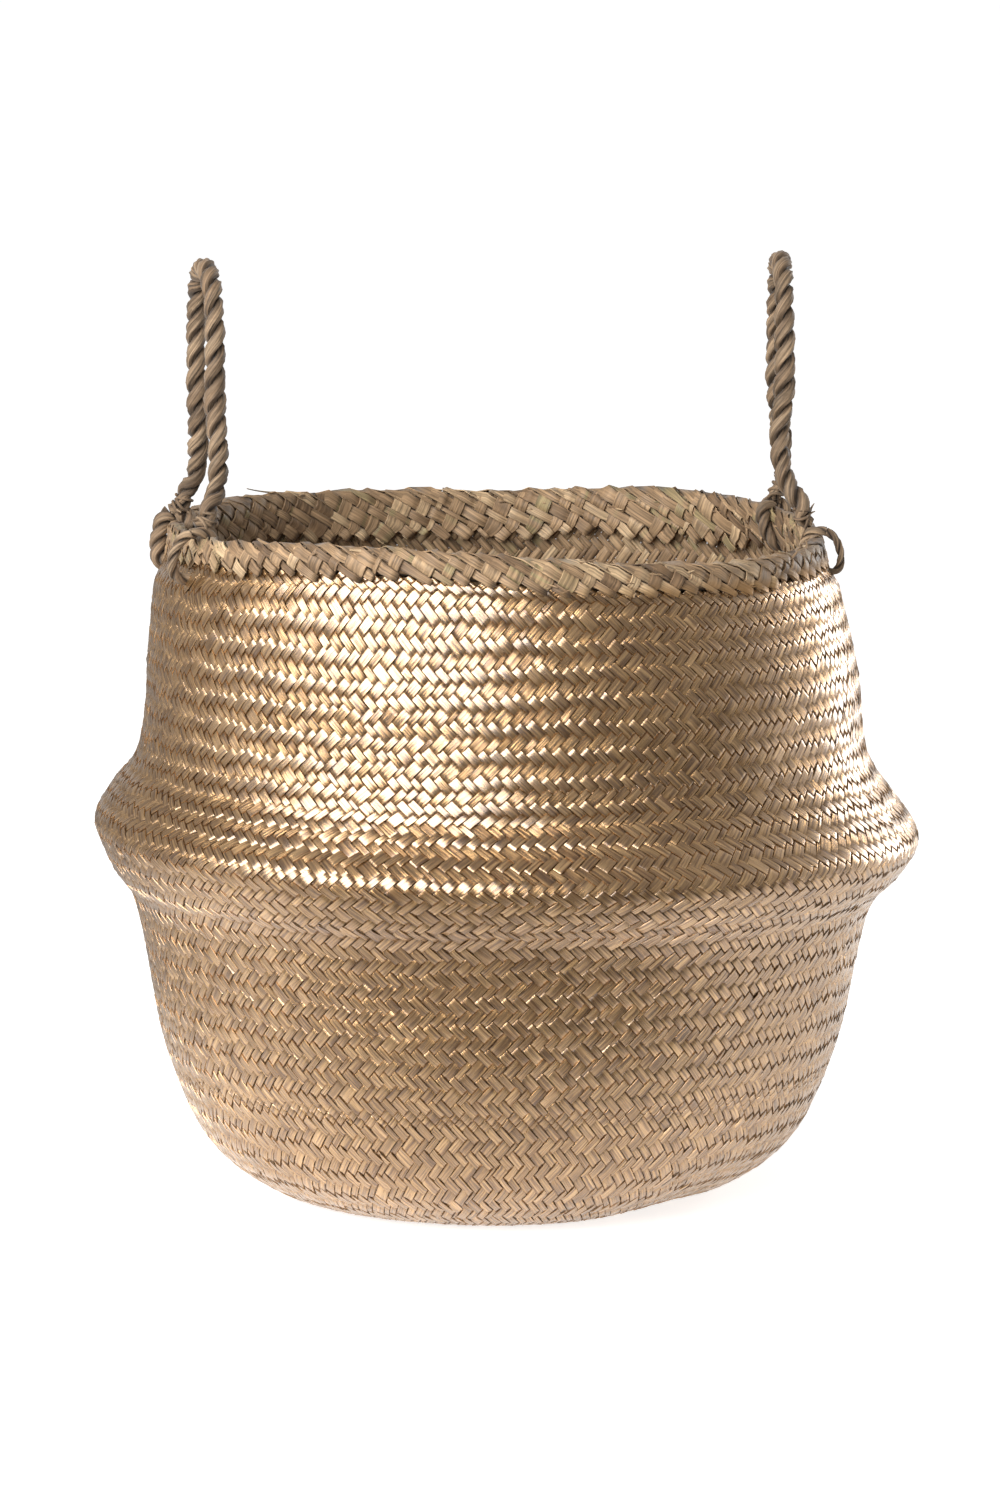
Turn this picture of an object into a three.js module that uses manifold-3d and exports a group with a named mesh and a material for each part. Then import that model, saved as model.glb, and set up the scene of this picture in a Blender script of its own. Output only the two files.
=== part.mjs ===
import * as THREE from 'three';
import { mergeVertices } from 'three/addons/utils/BufferGeometryUtils.js';
import Module from 'manifold-3d';

// Plaited rush belly basket with two rope handles.
// Millimetres, +Z up, the origin at the middle of the flat base, handles at -X and +X.

// Plaited body: the thickness of the mat and the gap between regions that meet
const WALL = 3.5;
const SEAM_GAP = 0.3;

// Outer line of the body, from the floor up: each station has a radius and a height above the last one
const BASE_RADIUS = 76;
const TOE_RADIUS = 98;
const TOE_HEIGHT = 5;
const HEEL_RADIUS = 124;
const HEEL_HEIGHT = 19;
const SIDE_RADIUS = 142;
const SIDE_HEIGHT = 37;
const FOLD_FOOT_RADIUS = 158;
const FOLD_FOOT_HEIGHT = 67;
const UNDER_CREST_RADIUS = 168;
const UNDER_CREST_HEIGHT = 12;
const CREST_RADIUS = 175;
const CREST_HEIGHT = 16;
const OVER_CREST_RADIUS = 167;
const OVER_CREST_HEIGHT = 15;
const WAIST_RADIUS = 155.5;
const WAIST_HEIGHT = 17;
const SHOULDER_RADIUS = 150;
const WALL_TOP_RADIUS = 143.8;

// Floor to the top of the rim
const BODY_HEIGHT = 287;

// Rim: a plaited band that sits on the wall's top edge, with a lip of dog teeth over its outside
const BRAID_HEIGHT = 18;
const BRAID_THICKNESS = 7.4;
const BRAID_CROWN = 3.6;
const BRAID_OVERHANG = 1.2;
const BRAID_RELIEF = 0.5;
const TOOTH_DEPTH = 4;
const TOOTH_PITCH = 10.4;

// Rope handles: each end is laced through the wall under the braid, in half the rope's strands,
// and closed into an eye
const ROPE_DIAMETER = 8.2;
const EYE_ROPE_DIAMETER = 5.2;
const EYE_ANGLE = THREE.MathUtils.degToRad(15);
const EYE_CLEARANCE = 0.45;
const HANDLE_RISE = 112;
const GRIP_WIDTH = 44;
const LEG_FLARE_HEIGHT = 40;
const LASHING_WALL = 1.9;
const LASHING_LENGTH = 11;
const LASHING_CLEARANCE = 0.3;
const LASHING_LIFT = 1;

// Facets
const ROUND_SEGMENTS = 60;
const WALL_STEPS = 2;
const FOLD_STEPS = 3;
const ROPE_SIDES = 8;
const ROPE_STEPS = 36;
const EYE_STEPS = 18;

const GOLD = { color: 0xb8925f, roughness: 0.42, metalness: 0.55 };
const GOLD_SHADE = { color: 0xa8844f, roughness: 0.45, metalness: 0.55 };
const STRAW = { color: 0xbfa27a, roughness: 0.75, metalness: 0 };
const ROPE = { color: 0x9a8464, roughness: 0.85, metalness: 0 };
const LASHING = { color: 0x86704f, roughness: 0.85, metalness: 0 };

const wasm = await Module();
wasm.setup();

const basket = new THREE.Group();

function named(name, geometry, finish) {
  const mesh = new THREE.Mesh(geometry, new THREE.MeshStandardMaterial(finish));
  mesh.name = name;
  return mesh;
}

function toSolid(geometry) {
  const bare = new THREE.BufferGeometry();
  bare.setAttribute('position', geometry.getAttribute('position').clone());
  if (geometry.index) {
    bare.setIndex(geometry.index.clone());
  }
  const welded = mergeVertices(bare, 1e-4);
  return new wasm.Manifold(new wasm.Mesh({
    numProp: 3,
    vertProperties: new Float32Array(welded.getAttribute('position').array),
    triVerts: new Uint32Array(welded.index.array),
  }));
}

function toGeometry(solid) {
  const mesh = solid.getMesh();
  const geometry = new THREE.BufferGeometry();
  geometry.setAttribute('position', new THREE.BufferAttribute(mesh.vertProperties, 3));
  geometry.setIndex(new THREE.BufferAttribute(mesh.triVerts, 1));
  geometry.computeVertexNormals();
  return geometry;
}

// A lathe turns about Y, so the turned form is stood up on Z.
function turned(profile, segments) {
  const geometry = new THREE.LatheGeometry(profile, segments);
  geometry.rotateX(Math.PI / 2);
  return geometry;
}

// Outer line of the plaited body

const braidBottom = BODY_HEIGHT - BRAID_HEIGHT;
const wallTop = braidBottom - SEAM_GAP;
const toe = TOE_HEIGHT;
const heel = toe + HEEL_HEIGHT;
const side = heel + SIDE_HEIGHT;
const foldFoot = side + FOLD_FOOT_HEIGHT;
const underCrest = foldFoot + UNDER_CREST_HEIGHT;
const crest = underCrest + CREST_HEIGHT;
const overCrest = crest + OVER_CREST_HEIGHT;
const waist = overCrest + WAIST_HEIGHT;
const shoulder = (waist + wallTop) / 2;

const stations = [
  [BASE_RADIUS, 0],
  [TOE_RADIUS, toe],
  [HEEL_RADIUS, heel],
  [SIDE_RADIUS, side],
  [FOLD_FOOT_RADIUS, foldFoot],
  [UNDER_CREST_RADIUS, underCrest],
  [CREST_RADIUS, crest],
  [OVER_CREST_RADIUS, overCrest],
  [WAIST_RADIUS, waist],
  [SHOULDER_RADIUS, shoulder],
  [WALL_TOP_RADIUS, wallTop],
];
const FOLD_FOOT = 4;
const WAIST = 8;
const WALL_TOP = stations.length - 1;

const line = new THREE.CatmullRomCurve3(
  stations.map(([radius, height]) => new THREE.Vector3(radius, height, 0)),
  false,
  'centripetal',
);

function outerPoint(station) {
  return line.getPoint(station / WALL_TOP);
}

function along(station) {
  return line.getTangent(station / WALL_TOP);
}

// The inner face lies one wall inside the outer line, square to it.
function innerPoint(station) {
  const tangent = along(station);
  const inward = new THREE.Vector3(-tangent.y, tangent.x, 0);
  return outerPoint(station).addScaledVector(inward, WALL);
}

// A turned shell between two stations, with a few steps in each span and a seam gap at its lower end
function wallSection(first, last, steps) {
  const count = (last - first) * steps;
  const outside = [];
  const inside = [];
  for (let i = 0; i <= count; i += 1) {
    const station = first + i / steps;
    const shift = i === 0 ? along(station).multiplyScalar(SEAM_GAP) : new THREE.Vector3();
    outside.push(outerPoint(station).add(shift));
    inside.push(innerPoint(station).add(shift));
  }
  const loop = [...outside, ...inside.reverse()];
  const profile = loop.map((point) => new THREE.Vector2(point.x, point.y));
  profile.push(profile[0].clone());
  return turned(profile, ROUND_SEGMENTS);
}

// The flat base ends in the same slanted face that the lowest wall starts from.
function baseDisc() {
  const outer = outerPoint(0);
  const inner = innerPoint(0);
  return turned([
    new THREE.Vector2(0, 0),
    new THREE.Vector2(outer.x, 0),
    new THREE.Vector2(inner.x, inner.y),
    new THREE.Vector2(0, inner.y),
  ], ROUND_SEGMENTS);
}

// Rim braid: its section follows the wall's top edge, so both come from the same values

const braidOuter = WALL_TOP_RADIUS + BRAID_OVERHANG;
const braidMiddle = braidOuter - BRAID_THICKNESS / 2;
const braidInner = braidOuter - BRAID_THICKNESS;
const lipInner = WALL_TOP_RADIUS + SEAM_GAP;
const wallTangent = along(WALL_TOP);
const wallLean = -wallTangent.x / wallTangent.y;

// One cross-section of the band, as radius and height. Tooth columns reach down over the wall,
// which leans out below its top edge.
function braidSection(isTooth) {
  const drop = isTooth ? TOOTH_DEPTH : SEAM_GAP;
  const lipBottom = braidBottom - drop;
  const lean = drop * wallLean;
  const brow = BODY_HEIGHT - BRAID_THICKNESS / 2;
  const middle = (braidBottom + brow) / 2;
  const swell = isTooth ? BRAID_RELIEF : 0;
  const counter = BRAID_RELIEF - swell;
  return [
    [lipInner + lean, lipBottom],
    [braidOuter + lean, lipBottom],
    [braidOuter + swell, braidBottom],
    [braidOuter + counter, middle],
    [braidOuter + swell, brow],
    [braidMiddle + BRAID_CROWN / 2, BODY_HEIGHT - swell],
    [braidMiddle - BRAID_CROWN / 2, BODY_HEIGHT - counter],
    [braidInner - swell, brow],
    [braidInner - counter, middle],
    [braidInner + BRAID_RELIEF, braidBottom],
    [lipInner, braidBottom],
  ];
}

function rimBraid() {
  const teeth = Math.round((2 * Math.PI * braidOuter) / TOOTH_PITCH);
  const columns = teeth * 2;
  const positions = [];
  for (let column = 0; column < columns; column += 1) {
    const angle = (2 * Math.PI * column) / columns;
    for (const [radius, height] of braidSection(column % 2 === 0)) {
      positions.push(radius * Math.cos(angle), radius * Math.sin(angle), height);
    }
  }
  const size = braidSection(true).length;
  const faces = [];
  for (let column = 0; column < columns; column += 1) {
    const here = column * size;
    const next = ((column + 1) % columns) * size;
    for (let i = 0; i < size; i += 1) {
      const j = (i + 1) % size;
      faces.push(here + i, next + i, next + j);
      faces.push(here + i, next + j, here + j);
    }
  }
  const geometry = new THREE.BufferGeometry();
  geometry.setAttribute('position', new THREE.Float32BufferAttribute(positions, 3));
  geometry.setIndex(faces);
  return geometry;
}

// Rope handles, drawn for the +X side. The eyes turn about a line along Y through the rim braid.

const ropeRadius = ROPE_DIAMETER / 2;
const eyeRopeRadius = EYE_ROPE_DIAMETER / 2;
const eyeInside = BRAID_HEIGHT / 2 + EYE_CLEARANCE;
const eyeRadius = eyeInside + eyeRopeRadius;
const eyeX = braidMiddle * Math.cos(EYE_ANGLE);
const eyeY = braidMiddle * Math.sin(EYE_ANGLE);
const eyeZ = braidBottom + BRAID_HEIGHT / 2;
const legX = eyeX - eyeInside - ropeRadius;
const gripTop = BODY_HEIGHT + HANDLE_RISE - ropeRadius;

// A leg rises from the inner side of each eye, leans in and goes over the grip's half circle.
function gripLine() {
  const half = GRIP_WIDTH / 2;
  const springLine = gripTop - half;
  const leg = [[eyeY, eyeZ], [half, eyeZ + LEG_FLARE_HEIGHT], [half, springLine]];
  const arch = [1, 2, 3].map((quarter) => {
    const angle = (Math.PI * quarter) / 4;
    return [half * Math.cos(angle), springLine + half * Math.sin(angle)];
  });
  const farLeg = leg.map(([y, z]) => [-y, z]).reverse();
  return new THREE.CatmullRomCurve3(
    [...leg, ...arch, ...farLeg].map(([y, z]) => new THREE.Vector3(legX, y, z)),
    false,
    'centripetal',
  );
}

function ropeTube(path) {
  const section = new THREE.Shape();
  for (let i = 0; i < ROPE_SIDES; i += 1) {
    const angle = (2 * Math.PI * (i + 0.5)) / ROPE_SIDES;
    const x = ropeRadius * Math.cos(angle);
    const y = ropeRadius * Math.sin(angle);
    if (i === 0) {
      section.moveTo(x, y);
    } else {
      section.lineTo(x, y);
    }
  }
  section.closePath();
  return new THREE.ExtrudeGeometry(section, { steps: ROPE_STEPS, extrudePath: path });
}

function eyeRing(side, tubeRadius) {
  const ring = new THREE.TorusGeometry(eyeRadius, tubeRadius, ROPE_SIDES, EYE_STEPS);
  ring.rotateX(Math.PI / 2);
  ring.translate(eyeX, side * eyeY, eyeZ);
  return ring;
}

function handleRope() {
  return toSolid(ropeTube(gripLine()))
    .add(toSolid(eyeRing(1, eyeRopeRadius)))
    .add(toSolid(eyeRing(-1, eyeRopeRadius)));
}

// A lashing of thin cord closes each eye: a short sleeve wound round the leg just above it.
function lashing(side) {
  const inner = ropeRadius + LASHING_CLEARANCE;
  const outer = inner + LASHING_WALL;
  const half = LASHING_LENGTH / 2;
  const round = LASHING_WALL / 2;
  const profile = [
    [inner, -half],
    [outer - round, -half],
    [outer, -half + round],
    [outer, half - round],
    [outer - round, half],
    [inner, half],
    [inner, -half],
  ].map(([x, y]) => new THREE.Vector2(x, y));
  const path = gripLine();
  const length = path.getLength();
  const height = LASHING_LIFT + half + eyeRadius + eyeRopeRadius;
  const share = side > 0 ? height / length : 1 - height / length;
  const centre = path.getPointAt(share);
  const tangent = path.getTangentAt(share);
  const up = new THREE.Vector3(0, 0, Math.sign(tangent.z));
  const sleeve = turned(profile, ROPE_SIDES * 2);
  sleeve.applyQuaternion(new THREE.Quaternion().setFromUnitVectors(up, tangent));
  sleeve.translate(centre.x, centre.y, centre.z);
  return sleeve;
}

// Each lacing hole is the path that the eye takes through the plait, a little wider than the rope.
function lacedThrough(geometry) {
  let solid = toSolid(geometry);
  for (const turn of [0, Math.PI]) {
    for (const side of [1, -1]) {
      const path = eyeRing(side, eyeRopeRadius + EYE_CLEARANCE);
      path.rotateZ(turn);
      solid = solid.subtract(toSolid(path));
    }
  }
  return toGeometry(solid);
}

// Assembly

basket.add(
  named('base', baseDisc(), GOLD_SHADE),
  named('lower_wall', wallSection(0, FOLD_FOOT, WALL_STEPS), GOLD),
  named('belly_fold', wallSection(FOLD_FOOT, WAIST, FOLD_STEPS), GOLD_SHADE),
  named('upper_wall', lacedThrough(wallSection(WAIST, WALL_TOP, WALL_STEPS)), GOLD),
  named('rim_braid', lacedThrough(rimBraid()), STRAW),
);

for (const [side, turn] of [['right', 0], ['left', Math.PI]]) {
  const handle = new THREE.Group();
  handle.rotation.z = turn;
  const front = turn === 0 ? -1 : 1;
  handle.add(
    named(`${side}_handle_rope`, toGeometry(handleRope()), ROPE),
    named(`${side}_lashing_front`, lashing(front), LASHING),
    named(`${side}_lashing_back`, lashing(-front), LASHING),
  );
  basket.add(handle);
}

export default basket;
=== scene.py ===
"""Plaited rush belly basket: a twill body sprayed gold, a dog-toothed rim and two rope handles.

Laid out as an add-on: sizes and colours are scene properties, each group of pieces has an
operator, and a panel in the sidebar lists them. Run as a script, it makes the whole basket
round the packed frame. Plait sizes are in millimetres, Blender's own units are metres.
"""

import math

import bpy
import numpy as np
from bpy.props import FloatProperty, FloatVectorProperty, IntProperty, PointerProperty
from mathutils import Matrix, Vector


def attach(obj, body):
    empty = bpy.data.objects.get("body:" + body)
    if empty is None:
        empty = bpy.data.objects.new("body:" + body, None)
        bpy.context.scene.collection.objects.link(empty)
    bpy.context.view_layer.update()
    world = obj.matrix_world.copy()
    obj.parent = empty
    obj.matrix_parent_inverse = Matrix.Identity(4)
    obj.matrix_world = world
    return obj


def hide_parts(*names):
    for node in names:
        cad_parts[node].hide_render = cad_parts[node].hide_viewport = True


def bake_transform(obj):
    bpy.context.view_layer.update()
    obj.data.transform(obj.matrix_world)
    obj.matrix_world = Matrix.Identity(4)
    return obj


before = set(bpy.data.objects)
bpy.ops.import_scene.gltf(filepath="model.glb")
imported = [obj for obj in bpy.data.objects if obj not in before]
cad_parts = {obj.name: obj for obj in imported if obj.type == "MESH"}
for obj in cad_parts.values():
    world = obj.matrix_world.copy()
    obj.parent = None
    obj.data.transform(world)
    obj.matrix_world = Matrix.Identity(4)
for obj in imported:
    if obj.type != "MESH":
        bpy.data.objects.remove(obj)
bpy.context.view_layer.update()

bl_info = {
    "name": "Plaited belly basket",
    "version": (1, 0, 0),
    "blender": (4, 5, 0),
    "location": "3D View > Sidebar > Basket",
    "description": "Makes a plaited rush belly basket with rope handles",
    "category": "Add Mesh",
}

MM = 0.001
TURN = 2 * math.pi

# Outer line of the body, from the floor up, as radius and height in mm. It is the packed part's own.
FOLD_FOOT = 128.0
CREST = 156.0
WAIST = 188.0
BOWL = [(76, 0), (98, 5), (124, 24), (142, 61), (158, FOLD_FOOT)]
FOLD = [(168, 140), (175, CREST), (167, 171), (155.5, WAIST)]
NECK = [(150, 228.35), (143.8, 268.7)]
STATIONS = [*BOWL, *FOLD, *NECK]
WALL = 3.5
RIM_TOP = 287.0
RIM_MIDDLE = 141.3
RIM_EDGE = 3.7
HANDLE_RISE = 112.0
EYE_ANGLE = math.radians(15)
EYE_MIDDLE = 278.6
HOLE_HEIGHT = 267.6


def linear(code):
    """An sRGB hex colour as linear red, green and blue."""
    parts = [int(code[i : i + 2], 16) / 255 for i in (1, 3, 5)]
    return [c / 12.92 if c <= 0.04045 else ((c + 0.055) / 1.055) ** 2.4 for c in parts]


def colour(name, description, code):
    """A colour setting, from its sRGB hex code."""
    return FloatVectorProperty(
        name=name, description=description, subtype="COLOR", size=3, min=0, max=1, default=linear(code)
    )


def length(name, description, millimetres):
    """A length setting, from its default in mm."""
    return FloatProperty(
        name=name, description=description, default=millimetres * MM, min=0, unit="LENGTH", subtype="DISTANCE"
    )


class BasketPlait(bpy.types.PropertyGroup):
    """Sizes of the twill that the body is plaited in."""

    strands: IntProperty(
        name="Strands", description="Strands that lean each way round the body", default=182, min=40
    )
    strand_width: length("Strand width", "Width of one split rush, edge to edge", 3.77)
    strand_thickness: length("Strand thickness", "Thickness of one split rush", 0.95)
    relief: length("Relief", "How far a strand rises and dips about the middle of the wall", 0.52)
    longest_row: length("Longest row", "Height of a row low on the bowl, where the strands crowd", 8.0)
    unevenness: FloatProperty(
        name="Unevenness", description="How much strand widths vary, as a share of the width", default=0.19
    )


class BasketRim(bpy.types.PropertyGroup):
    """Sizes of the dog-toothed rim."""

    teeth: IntProperty(name="Teeth", description="Teeth round the rim", default=94, min=20)
    row: length("Row", "Height of half a plait row in the rim", 4.05)
    slant: FloatProperty(
        name="Slant", description="How far the plait leans over, sideways for each step up", default=0.68
    )
    strand_thickness: length("Strand thickness", "Thickness of one rim strand", 1.0)
    relief: length("Relief", "How far a rim strand rises and dips", 0.7)


class BasketHandles(bpy.types.PropertyGroup):
    """Sizes of the rope handles."""

    diameter: length("Rope diameter", "Thickness of the laid rope", 8.2)
    lay: length("Lay", "Length along the rope in which one ply goes round once", 19.4)
    eye_diameter: length("Eye rope diameter", "Thickness of the rope where it is laced through", 5.2)
    grip_width: length("Grip width", "Distance between the two legs", 44.0)


class BasketColours(bpy.types.PropertyGroup):
    """Colours of the rush, the paint and the rope."""

    gold_light: colour("Gold, light", "Lacquer on the palest strands", "#B58E60")
    gold_mid: colour("Gold", "Lacquer on most strands", "#A57F51")
    gold_dark: colour("Gold, dark", "Lacquer on the darkest strands", "#957046")
    sheen: colour("Sheen", "What the lacquer shines in", "#E6C8A2")
    straw_light: colour("Straw, light", "Palest bare rush", "#B89D7A")
    straw_mid: colour("Straw", "Most of the bare rush", "#977B5C")
    straw_dark: colour("Straw, dark", "Browned and shaded rush", "#6C543C")
    straw_green: colour("Straw, green", "Rush that was cut green", "#8F7F5B")
    rope_light: colour("Rope, light", "Palest rush in the rope", "#947D63")
    rope_dark: colour("Rope, dark", "Browner rush in the rope", "#6D5843")
    # Painted shade: the darkest rope colour, which a ply takes where it faces the other one
    rope_shade: colour("Rope, deep", "Dust and shade between the plies", "#493A2A")


class BasketStudio(bpy.types.PropertyGroup):
    """The studio: lamps, surroundings and camera."""

    key: FloatProperty(name="Key lamp", description="Power of the large soft box", default=92, unit="POWER")
    side: FloatProperty(name="Side lamp", description="Power of the left lamp", default=3, unit="POWER")
    edge: FloatProperty(name="Edge lamp", description="Power of the lamp behind", default=18, unit="POWER")
    fill: FloatProperty(name="Surroundings", description="Strength of the even light", default=0.34)
    lens: FloatProperty(name="Lens", description="Focal length in mm on a 36 mm frame", default=151.2)


# Plait: strands as closed ribbons on a lattice of two families


def catmull(points, steps):
    """Points along the centripetal curve through the stations, as the packed part draws it."""
    p = np.array(points, float)
    p = np.vstack([2 * p[0] - p[1], p, 2 * p[-1] - p[-2]])
    out = []
    for a, b, c, d in zip(p, p[1:], p[2:], p[3:]):
        u, v, w = (max(np.linalg.norm(n - m), 1e-6) ** 0.5 for m, n in ((a, b), (b, c), (c, d)))
        t1 = ((b - a) / u - (c - a) / (u + v) + (c - b) / v) * v
        t2 = ((c - b) / v - (d - b) / (v + w) + (d - c) / w) * v
        for s in np.arange(steps) / steps:
            out.append(b + t1 * s + (3 * (c - b) - 2 * t1 - t2) * s**2 + (2 * (b - c) + t1 + t2) * s**3)
    return np.array([*out, p[-2]])


def travel(points):
    """Length along a line at each of its points."""
    return np.concatenate([[0], np.cumsum(np.linalg.norm(np.diff(points, axis=0), axis=1))])


def read(table, along, at):
    """The table's columns, read at lengths along it."""
    return np.stack([np.interp(at, along, column) for column in table.T], -1)


class Line:
    """A line in the radius-height plane, with its outward side, read by length along it."""

    def __init__(self, points):
        self.points = np.array(points, float)
        self.along = travel(self.points)
        slope = np.gradient(self.points, self.along, axis=0)
        slope /= np.linalg.norm(slope, axis=1)[:, None]
        self.outward = np.stack([slope[:, 1], -slope[:, 0]], axis=1)
        self.length = self.along[-1]

    def place(self, angle, at, level):
        """Points in mm: angle round the axis, length along the line, height off it."""
        inside = np.clip(at, 0, self.length)
        spot = read(self.points, self.along, inside)
        side = read(self.outward, self.along, inside)
        tip = np.stack([side[..., 1], -side[..., 0]], axis=-1) * -(at - inside)[..., None]
        spot = spot + side * level[..., None] + tip
        return np.stack([spot[..., 0] * np.cos(angle), spot[..., 0] * np.sin(angle), spot[..., 1]], axis=-1)


def waves(angle, height, seed, scale):
    """Smooth unevenness round the body, about -1 to 1, and closed round the axis."""
    draw = np.random.default_rng(seed)
    total = np.zeros(np.broadcast(angle, height).shape)
    for turns in (1, 2, 3, 5, 7):
        phase, climb = draw.uniform(0, TURN), draw.uniform(-1, 1) * TURN / scale
        total += np.sin(turns * angle + climb * height + phase) / (1 + 0.4 * turns)
    return total / 1.6


# Across a strand: place from edge to edge, and height as a share of half its thickness
SECTION = [(0.0, 0.2), (0.05, 0.9), (0.95, 0.9), (1.0, 0.2), (0.8, -1.0), (0.2, -1.0)]
SHOULDERS = (1, 2)
# Share of a cell in which a strand dives under, and how far up it is there: a float is a low arch
DIVE = 0.15
END = 0.66
# Length of a cell along a strand of the body and of the rim, and how far apart in the fibre's
# pattern neighbouring strands lie, in mm
BODY_CELL = 4.0
RIM_CELL = 6.5
FIBRE_STEP = 7.3


def rise(signs):
    """Steps along a strand, in cells, and how far it stands over (1) or under (-1) the middle there."""
    steps, level = [], []
    for cell, sign in enumerate(signs):
        if cell == 0 or signs[cell - 1] != sign:
            steps += [cell, cell + DIVE]
            level += [0.0, END * sign]
        steps.append(cell + 0.5)
        level.append(sign)
        if cell + 1 == len(signs) or signs[cell + 1] != sign:
            steps.append(cell + 1 - DIVE)
            level.append(END * sign)
    return np.array([*steps, len(signs)], float), np.array([*level, 0.0])


class Strands:
    """Collects ribbons into one mesh, with a map for baking and one along the fibres."""

    def __init__(self):
        self.points, self.tint, self.shoulder = [], [], []
        self.quads, self.maps, self.fibre, self.inner = [], [], [], []
        self.count = self.strips = 0

    def add(self, points, along, across, tint, shoulders=()):
        """points: strands x steps x section x 3 in mm; along and across: mm along and round them."""
        strands, steps, sides, _ = points.shape
        index = np.arange(strands * steps * sides).reshape(strands, steps, sides) + self.count
        ring = np.concatenate([index, index[:, :, :1]], axis=2)
        grid = (strands, steps, sides + 1)

        def corners(*tables):
            """What the tables hold at the four corners of each face."""
            table = np.stack([np.broadcast_to(t, grid) for t in tables], -1)
            four = [table[:, :-1, :-1], table[:, :-1, 1:], table[:, 1:, 1:], table[:, 1:, :-1]]
            return np.stack(four, -2)

        strip = np.arange(strands) + self.strips
        run = (along - along[:, :1]) / np.maximum(np.ptp(along, axis=1, keepdims=True), 1e-6)
        bake = corners(strip[:, None, None], run[:, :, None], np.linspace(0, 1, sides + 1))
        inner = np.broadcast_to(np.arange(sides) >= sides // 2, (strands, steps - 1, sides))
        sharp = np.array([k if k in shoulders else -1 for k in range(sides)])
        self.points.append(points.reshape(-1, 3))
        self.shoulder.append(np.broadcast_to(sharp, (strands, steps, sides)).reshape(-1))
        self.tint.append(np.broadcast_to(tint, (strands, steps, sides)).reshape(-1))
        self.quads.append(corners(ring).reshape(-1, 4))
        self.fibre.append(corners(along[:, :, None], across[:, None, :]).reshape(-1, 2))
        self.maps.append(bake.reshape(-1, 3))
        self.inner.append(inner.reshape(-1))
        # Flat ends, in fans of quads
        for end, way in ((0, -1), (-1, 1)):
            loop = index[:, end, ::way]
            for k in range(1, sides - 2, 2):
                flat = np.zeros((strands, 4, 3))
                flat[..., 0] = strip[:, None]
                flat[..., 1] = -end
                flat[..., 2] = np.arange(4) / 3
                self.quads.append(loop[:, [0, k, k + 1, k + 2]])
                self.fibre.append(np.zeros((strands * 4, 2)))
                self.maps.append(flat.reshape(-1, 3))
                self.inner.append(np.zeros(strands, bool))
        self.count += points.size // 3
        self.strips += strands

    def piece(self, name, materials, aspect=10.0):
        """The mesh object. aspect: length to girth of one strip, which sets the baking grid."""
        points = np.concatenate(self.points) * MM
        quads = np.concatenate(self.quads)
        mesh = bpy.data.meshes.new(name)
        mesh.vertices.add(len(points))
        mesh.vertices.foreach_set("co", points.ravel())
        mesh.loops.add(quads.size)
        mesh.loops.foreach_set("vertex_index", quads.ravel().astype(np.int32))
        mesh.polygons.add(len(quads))
        mesh.polygons.foreach_set("loop_start", np.arange(0, quads.size, 4, dtype=np.int32))
        mesh.polygons.foreach_set("material_index", np.concatenate(self.inner).astype(np.int32))
        mesh.polygons.foreach_set("use_smooth", np.ones(len(quads), bool))
        columns = max(1, round(math.sqrt(self.strips / aspect)))
        rows = math.ceil(self.strips / columns)
        strip, u, v = np.concatenate(self.maps).T
        margin = 0.04
        end = margin / aspect
        atlas_u = (strip % columns + end + u * (1 - 2 * end)) / columns
        atlas_v = (strip // columns + margin + v * (1 - 2 * margin)) / rows
        atlas = np.stack([atlas_u, atlas_v], -1)
        for title, values in (("OFBake", atlas), ("Strand", np.concatenate(self.fibre))):
            layer = mesh.uv_layers.new(name=title)
            layer.data.foreach_set("uv", values.astype(np.float32).ravel())
        tint = mesh.attributes.new("tint", "FLOAT", "POINT")
        tint.data.foreach_set("value", np.concatenate(self.tint).astype(np.float32))
        mesh.update(calc_edges=True)
        mesh.validate()
        edges = np.zeros(2 * len(mesh.edges), np.int32)
        mesh.edges.foreach_get("vertices", edges)
        ends = np.concatenate(self.shoulder)[edges.reshape(-1, 2)]
        sharp = mesh.attributes.new("sharp_edge", "BOOLEAN", "EDGE")
        sharp.data.foreach_set("value", (ends[:, 0] == ends[:, 1]) & (ends[:, 0] >= 0))
        for material in materials:
            mesh.materials.append(material)
        made = bpy.data.objects.new(name, mesh)
        bpy.context.scene.collection.objects.link(made)
        return made


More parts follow.
